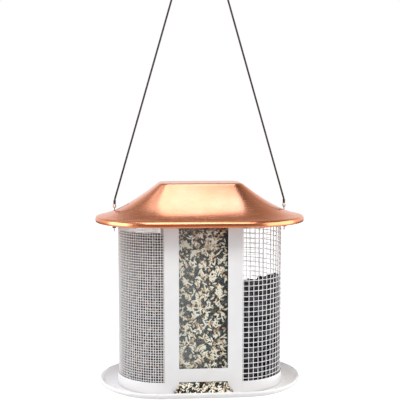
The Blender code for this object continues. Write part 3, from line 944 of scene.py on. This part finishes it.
def scatter(name, shape, places, normals, rng, material, slot, tilt):
    """One mesh of many seeds that lie along a surface, each turned at random in it."""
    verts, faces = SEED_SHAPES[shape]
    count = len(places)
    helper = np.where(np.abs(normals[:, 2:3]) < 0.9, [[0, 0, 1.0]], [[1.0, 0, 0]])
    first = np.cross(helper, normals)
    first /= np.linalg.norm(first, axis=1, keepdims=True)
    second = np.cross(normals, first)
    turn = rng.uniform(0, math.tau, (count, 1))
    along = first * np.cos(turn) + second * np.sin(turn)
    lean = rng.normal(0, tilt, (count, 1))
    along = along * np.cos(lean) + normals * np.sin(lean)
    up = normals - along * np.sum(along * normals, axis=1, keepdims=True)
    up /= np.linalg.norm(up, axis=1, keepdims=True)
    roll = rng.normal(0, tilt, (count, 1))
    side = np.cross(up, along)
    up = up * np.cos(roll) + side * np.sin(roll)
    side = np.cross(up, along)
    scale = rng.uniform(*SEED_SIZES, (count, 1, 3))
    local = verts[None, :, :] * scale
    world = (
        places[:, None, :]
        + local[:, :, 0:1] * along[:, None, :]
        + local[:, :, 1:2] * side[:, None, :]
        + local[:, :, 2:3] * up[:, None, :]
    )
    # No seed goes down through the tray.
    world[:, :, 2] = np.maximum(world[:, :, 2], height(TRAY_FLOOR))
    sizes = [len(face) for face in faces]
    flat = np.concatenate([np.array(face) for face in faces])
    per = len(verts)
    loops = (flat[None, :] + per * np.arange(count)[:, None]).ravel()
    totals = np.tile(sizes, count)
    starts = np.concatenate([[0], np.cumsum(totals)[:-1]])
    mesh = bpy.data.meshes.new(name)
    mesh.vertices.add(per * count)
    mesh.loops.add(len(loops))
    mesh.polygons.add(len(totals))
    mesh.vertices.foreach_set("co", world.astype(np.float32).ravel())
    mesh.loops.foreach_set("vertex_index", loops.astype(np.int32))
    mesh.polygons.foreach_set("loop_start", starts.astype(np.int32))
    mesh.update(calc_edges=True)
    tint = mesh.attributes.new("tint", "FLOAT", "POINT")
    shade = np.repeat(rng.uniform(0, 1, count), per)
    tint.data.foreach_set("value", shade.astype(np.float32))
    return add_piece(name, mesh, material, "feeder", (), 50)


def end_shell_places(side, radius, low, high, count, rng, depth):
    """Random places on the half-round wall of an end load, with outward normals."""
    angle = rng.uniform(-math.pi / 2, math.pi / 2, count)
    level = rng.uniform(low, high, count)
    reach = radius - rng.uniform(0, 1, count) * depth
    normals = np.stack([side * np.cos(angle), np.sin(angle), np.zeros(count)], axis=1)
    places = normals * reach[:, None]
    places[:, 0] += end_centre(side)
    places[:, 2] = UNDERSIDE + level
    return places, normals


def end_top_places(side, radius, level_at, count, rng):
    """Random places on the top of an end load."""
    angle = rng.uniform(-math.pi / 2, math.pi / 2, count)
    reach = radius * np.sqrt(rng.uniform(0, 1, count))
    x = end_centre(side) + side * reach * np.cos(angle)
    y = reach * np.sin(angle)
    z = np.array([UNDERSIDE + level_at(a, b) for a, b in zip(x, y)])
    normals = np.tile([0.0, 0.0, 1.0], (count, 1))
    return np.stack([x, y, z], axis=1), normals


def below(places, normals, level_at):
    """The places that are under the load's top."""
    keep = places[:, 2] < [UNDERSIDE + level_at(x, y) for x, y, _ in places]
    return places[keep], normals[keep]


def end_core(name, side, radius, level_at, node):
    """The dark body of an end load, behind its outer seeds: near black, painted shade for the
    depths between them.
    """
    rings, spokes = 14, 40
    base = 0.0112
    verts, faces = [], []
    for r in range(rings + 1):
        for s in range(spokes + 1):
            angle = math.pi * (s / spokes - 0.5)
            reach = radius * r / rings
            x = end_centre(side) + side * reach * math.cos(angle)
            y = reach * math.sin(angle)
            verts.append((x, y, height(level_at(x, y))))
    for r in range(rings):
        for s in range(spokes):
            a = r * (spokes + 1) + s
            faces.append((a, a + 1, a + spokes + 2, a + spokes + 1))
    rim = [rings * (spokes + 1) + s for s in range(spokes + 1)]
    left = [r * (spokes + 1) for r in range(rings)]
    right = [r * (spokes + 1) + spokes for r in range(rings)]
    border = left + rim + right[::-1]
    start = len(verts)
    verts += [(verts[i][0], verts[i][1], height(base)) for i in border]
    for i in range(len(border)):
        j = (i + 1) % len(border)
        faces.append((border[i], border[j], start + j, start + i))
    faces.append(tuple(range(start, start + len(border)))[::-1])
    mesh = mesh_from(name, verts, faces)
    work = bmesh.new()
    work.from_mesh(mesh)
    bmesh.ops.remove_doubles(work, verts=work.verts, dist=1e-6)
    bmesh.ops.recalc_face_normals(work, faces=work.faces)
    work.to_mesh(mesh)
    work.free()
    add_piece(name, mesh, MATERIALS["painted_shade_core"], "feeder", [node], 40)


def gentle(x, y, size, seed):
    return noise.noise(Vector((x / size, y / size, seed)))


LOAD_RADIUS = 0.0546


def dished(x, y):
    """How far the top of an end load sinks: towards its middle, and towards the back."""
    from_wall = LOAD_RADIUS - math.hypot(abs(x) - HALF_STRAIGHT, y)
    return 0.30 * from_wall + 0.20 * max(0.0, y)


def sunflower_level(x, y):
    """The load also rises a little towards the end."""
    rise = 0.0125 * (x - 0.0478) / 0.054
    return 0.1248 + rise - dished(x, y) + 0.0026 * gentle(x, y, 0.016, 3.0)


def nyjer_level(x, y):
    return 0.1945 - dished(x, y) + 0.0016 * gentle(x, y, 0.009, 7.0)


def add_end_loads():
    """Sunflower seed on the right and nyjer on the left, each a dark core in a skin of seeds; the
    core's near black is painted shade between the seeds.
    """
    rng = np.random.default_rng(11)
    black = seed_skin(
        "sunflower_husk",
        [
            (0.1, (0.004, 0.004, 0.006)),
            (0.70, (0.014, 0.016, 0.022)),
            # The bluish top stop is partly the husk's grey streaks and partly painted sheen.
            (1.0, (0.085, 0.092, 0.110)),
        ],
        roughness=0.45,
        streak=0.35,
        specular=0.25,
    )
    dark = seed_skin(
        "nyjer_husk",
        [
            (0.20, (0.002, 0.002, 0.002)),
            (0.66, (0.006, 0.006, 0.007)),
            # The two palest stops, blue-grey and tan, are painted glints: a few seeds coloured as
            # if catching the light.
            (0.80, (0.080, 0.082, 0.095)),
            (0.92, (0.40, 0.41, 0.44)),
            (1.0, (0.48, 0.30, 0.18)),
        ],
        roughness=0.7,
        streak=0.25,
        specular=0.20,
    )
    end_core("sunflower_core", 1, 0.0495, sunflower_level, "sunflower_fill")
    walls = end_shell_places(1, 0.0520, 0.0130, 0.1440, 1600, rng, 0.0018)
    walls = below(*walls, sunflower_level)
    scatter("sunflower_walls", "sunflower", *walls, rng, black, "sunflower", 0.28)
    tops = end_top_places(1, 0.0508, sunflower_level, 420, rng)
    scatter("sunflower_tops", "sunflower", *tops, rng, black, "sunflower", 0.22)
    end_core("nyjer_core", -1, 0.0512, nyjer_level, "nyjer_fill")
    walls = end_shell_places(-1, 0.0527, 0.0120, 0.1965, 9500, rng, 0.0010)
    places, normals = below(*walls, nyjer_level)
    for name, half in (("front", places[:, 1] < 0), ("back", places[:, 1] >= 0)):
        part = places[half], normals[half]
        scatter(f"nyjer_walls_{name}", "nyjer", *part, rng, dark, "nyjer", 0.22)
    tops = end_top_places(-1, 0.0525, nyjer_level, 1600, rng)
    scatter("nyjer_tops", "nyjer", *tops, rng, dark, "nyjer", 0.2)


# Half length, half width and top of the mixed seed, and the span across the windows that its seeds
# cover. Seeds stop short of the window's +X edge, so that the dark core shows there as a strip of
# painted shadow.
MIX_HALF = 0.0440
MIX_WALL = 0.0495
MIX_TOP = 0.1985
MIX_FACE_X = (-0.036, 0.0283)
MIX_FACE_BOTTOM = 0.0190

# How far seeds stand out from their core at random, and the paler seeds beyond that.
SKIN_DEPTH = 0.0012
SKIN_LIFT = 0.0004

# Size of the clumps of pale grain, and how much of the window they leave free.
CLUMP_SIZE = 0.008
CLUMP_THRESHOLD = 0.09


def clumped(places, rng):
    """Keeps the places where a smooth random field is high, so that seeds lie in clumps."""
    field = np.array(
        [
            noise.noise(Vector((x / CLUMP_SIZE, z / CLUMP_SIZE, y * 40 + 1.0)))
            for x, y, z in places
        ]
    )
    return field + rng.uniform(-0.35, 0.35, len(places)) > CLUMP_THRESHOLD


def mix_face_places(facing, count, rng):
    """Random places on the front or back of the mixed seed, with outward normals."""
    x = rng.uniform(*MIX_FACE_X, count)
    z = UNDERSIDE + rng.uniform(MIX_FACE_BOTTOM, MIX_TOP, count)
    y = facing * (MIX_WALL + rng.uniform(0, SKIN_DEPTH, count))
    normals = np.tile([0.0, float(facing), 0.0], (count, 1))
    return np.stack([x, y, z], axis=1), normals


def mix_top_places(count, rng):
    x = rng.uniform(-MIX_HALF, MIX_HALF, count)
    y = rng.uniform(-MIX_WALL, MIX_WALL, count)
    z = np.full(count, height(MIX_TOP)) + rng.uniform(0, SKIN_DEPTH, count)
    return np.stack([x, y, z], axis=1), np.tile([0.0, 0.0, 1.0], (count, 1))


def add_mix_core():
    """The dark body of the mixed seed, near black: painted shade for the gaps between its outer
    seeds.
    """
    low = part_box("seed_mix_fill")[0].z + 0.001
    high = height(MIX_TOP)
    work = bmesh.new()
    bmesh.ops.create_cube(work, size=1)
    size = Vector((2 * MIX_HALF, 2 * MIX_WALL, high - low))
    bmesh.ops.scale(work, vec=size, verts=work.verts)
    bmesh.ops.translate(work, vec=(0, 0, (low + high) / 2), verts=work.verts)
    bmesh.ops.recalc_face_normals(work, faces=work.faces)
    name = "seed_mix_core"
    dark = MATERIALS["painted_shade_core"]
    add_piece(name, mesh_of(work, name), dark, "feeder", ["seed_mix_fill"], 30)


def add_mix_load():
    """Nyjer, clumps of pale grain and some cracked corn behind the windows and in the heaps."""
    rng = np.random.default_rng(23)
    grey = seed_skin(
        "mixed_nyjer_husk",
        [
            (0.1, (0.006, 0.007, 0.006)),
            (0.7, (0.024, 0.029, 0.026)),
            (1.0, (0.13, 0.14, 0.12)),
        ],
        roughness=0.6,
        streak=0.3,
        specular=0.25,
    )
    cream = seed_skin(
        "pale_grain",
        [(0.0, (0.78, 0.60, 0.38)), (0.30, (0.92, 0.84, 0.64)), (1.0, (0.97, 0.94, 0.84))],
        roughness=0.45,
        streak=0.25,
    )
    amber = seed_skin(
        "cracked_corn",
        [(0.0, (0.42, 0.22, 0.10)), (0.5, (0.62, 0.38, 0.20)), (1.0, (0.80, 0.62, 0.40))],
        roughness=0.5,
        streak=0.4,
    )
    add_mix_core()
    for facing, name in ((-1, "front"), (1, "back")):
        under = mix_face_places(facing, 5200, rng)
        scatter(f"mix_nyjer_{name}", "nyjer", *under, rng, grey, "seed_mix", 0.2)
        places, normals = mix_face_places(facing, 2300, rng)
        places[:, 1] += facing * SKIN_LIFT
        keep = clumped(places, rng)
        kept = places[keep], normals[keep]
        scatter(f"mix_grain_{name}", "grain", *kept, rng, cream, "seed_mix", 0.16)
        places, normals = mix_face_places(facing, 420, rng)
        places[:, 1] += facing * SKIN_LIFT
        scatter(f"mix_corn_{name}", "chip", places, normals, rng, amber, "seed_mix", 0.3)
    for name, shape, count, skin in (
        ("nyjer", "nyjer", 2200, grey),
        ("grain", "grain", 700, cream),
        ("corn", "chip", 160, amber),
    ):
        places, normals = mix_top_places(count, rng)
        scatter(f"mix_{name}_top", shape, places, normals, rng, skin, "seed_mix", 0.25)
    for name in ("front", "back"):
        add_heap(name, rng, grey, cream, amber)


def surface_places(mesh, count, rng, lowest):
    """Random places on a mesh's faces by area, with their normals, above this height."""
    mesh.calc_loop_triangles()
    corners = np.array(
        [[mesh.vertices[i].co[:] for i in t.vertices] for t in mesh.loop_triangles]
    )
    cross = np.cross(corners[:, 1] - corners[:, 0], corners[:, 2] - corners[:, 0])
    area = np.linalg.norm(cross, axis=1)
    chosen = rng.choice(len(area), count, p=area / area.sum())
    a, b = rng.uniform(0, 1, (2, count, 1))
    flip = a + b > 1
    a, b = np.where(flip, 1 - a, a), np.where(flip, 1 - b, b)
    picked = corners[chosen]
    corner = picked[:, 0]
    places = corner + a * (picked[:, 1] - corner) + b * (picked[:, 2] - corner)
    normals = cross[chosen] / area[chosen][:, None]
    keep = (normals[:, 2] > -0.2) & (places[:, 2] > lowest)
    return places[keep], normals[keep]


# Seeds of a heap lie outside the window panes.
PANE_FACE = 0.0540


def add_heap(name, rng, grey, cream, amber):
    """Seed that has run out of a port: a low heap whose skin is whole seeds, over a dark core that
    is painted shade between them.
    """
    source = nodes[f"seed_heap_{name}"].data
    middle = sum((v.co for v in source.vertices), Vector()) / len(source.vertices)
    core = source.copy()
    core.name = f"heap_core_{name}"
    for vert in core.vertices:
        vert.co.x *= 0.965
        vert.co.y = middle.y + (vert.co.y - middle.y) * 0.90
        vert.co.z = vert.co.z - 0.0012 if vert.co.z > height(0.004) else vert.co.z
    dark = MATERIALS["painted_shade_core"]
    add_piece(core.name, core, dark, "feeder", [f"seed_heap_{name}"], 20)
    lowest = height(0.0018)
    for kind, shape, count, skin in (
        ("nyjer", "nyjer", 1500, grey),
        ("grain", "grain", 240, cream),
        ("corn", "chip", 130, amber),
    ):
        places, normals = surface_places(core, count, rng, lowest)
        places = places + normals * SKIN_LIFT
        keep = np.abs(places[:, 1]) > PANE_FACE
        kept = places[keep], normals[keep]
        scatter(f"heap_{kind}_{name}", shape, *kept, rng, skin, "seed_mix", 0.2)


add_end_loads()
add_mix_load()

# ---------------------------------------------------------------- studio


FLOOR_HALF = 6
FLOOR_DROP = 0.45


def add_softbox(name, place, target, size, power, colour=(1, 1, 1)):
    data = bpy.data.lights.new(name, "AREA")
    data.shape = "RECTANGLE"
    data.size, data.size_y = size
    data.energy = power
    data.color = colour
    light = new_object(name, data)
    light.location = place
    aim = Vector(target) - Vector(place)
    light.rotation_euler = aim.to_track_quat("-Z", "Y").to_euler()


def add_studio():
    """Soft boxes all aimed at the feeder, and a pale floor well below it."""
    middle = (0, 0, height(0.15))
    sky = (0.60, 0.76, 1.0)
    add_softbox("overhead", (-0.11, -0.10, height(1.15)), middle, (0.50, 0.85), 4.9, sky)
    add_softbox("overhead_left", (-0.52, 0.28, height(1.10)), middle, (0.30, 0.66), 0.9, sky)
    add_softbox("left_box", (-1.5, -0.30, height(0.36)), middle, (1.2, 1.3), 16)
    add_softbox("right_box", (1.45, -0.45, height(0.40)), middle, (1.7, 1.4), 20)
    add_softbox("front_box", (-0.1, -1.1, height(1.5)), middle, (1.5, 0.5), 16)
    far = FLOOR_HALF
    corners = [(-far, -far, 0), (far, -far, 0), (far, far, 0), (-far, far, 0)]
    floor_mesh = mesh_from("floor", corners, [(0, 1, 2, 3)])
    floor = new_object("floor", floor_mesh)
    floor.location.z = height(-FLOOR_DROP)
    pale = new_material("pale_floor", (0.72, 0.72, 0.72), 0.9, Emission_Color=(1, 1, 1, 1))
    tree, shader = node_tree(pale)
    path = tree.nodes.new("ShaderNodeLightPath")
    tree.links.new(path.outputs["Is Camera Ray"], shader.inputs["Emission Strength"])
    floor_mesh.materials.append(pale)
    add_world()
    bpy.context.scene.view_settings.view_transform = "Standard"


def add_world():
    """White low behind the feeder, dimmer above and in front, plain white where it is seen."""
    world = bpy.data.worlds.new("studio")
    bpy.context.scene.world = world
    world.use_nodes = True
    tree = world.node_tree
    tree.nodes.clear()
    place = tree.nodes.new("ShaderNodeTexCoord")
    split = tree.nodes.new("ShaderNodeSeparateXYZ")
    tree.links.new(place.outputs["Generated"], split.inputs[0])
    up, back = (
        add_ramp(tree, split.outputs[axis], [(place, (grey,) * 3) for place, grey in stops])
        for axis, stops in (
            ("Z", ((0.0, 0.95), (0.30, 0.90), (0.50, 0.60), (0.70, 0.38), (0.90, 0.28))),
            ("Y", ((0.0, 0.30), (0.35, 1.0))),
        )
    )
    mixed = tree.nodes.new("ShaderNodeMix")
    mixed.data_type = "RGBA"
    mixed.blend_type = "MULTIPLY"
    mixed.inputs["Factor"].default_value = 1.0
    tree.links.new(up, mixed.inputs[6])
    tree.links.new(back, mixed.inputs[7])
    lit = tree.nodes.new("ShaderNodeBackground")
    tree.links.new(mixed.outputs[2], lit.inputs["Color"])
    seen = tree.nodes.new("ShaderNodeBackground")
    seen.inputs["Color"].default_value = (1, 1, 1, 1)
    path = tree.nodes.new("ShaderNodeLightPath")
    choose = tree.nodes.new("ShaderNodeMixShader")
    output = tree.nodes.new("ShaderNodeOutputWorld")
    tree.links.new(path.outputs["Is Camera Ray"], choose.inputs[0])
    tree.links.new(lit.outputs[0], choose.inputs[1])
    tree.links.new(seen.outputs[0], choose.inputs[2])
    tree.links.new(choose.outputs[0], output.inputs["Surface"])


add_studio()
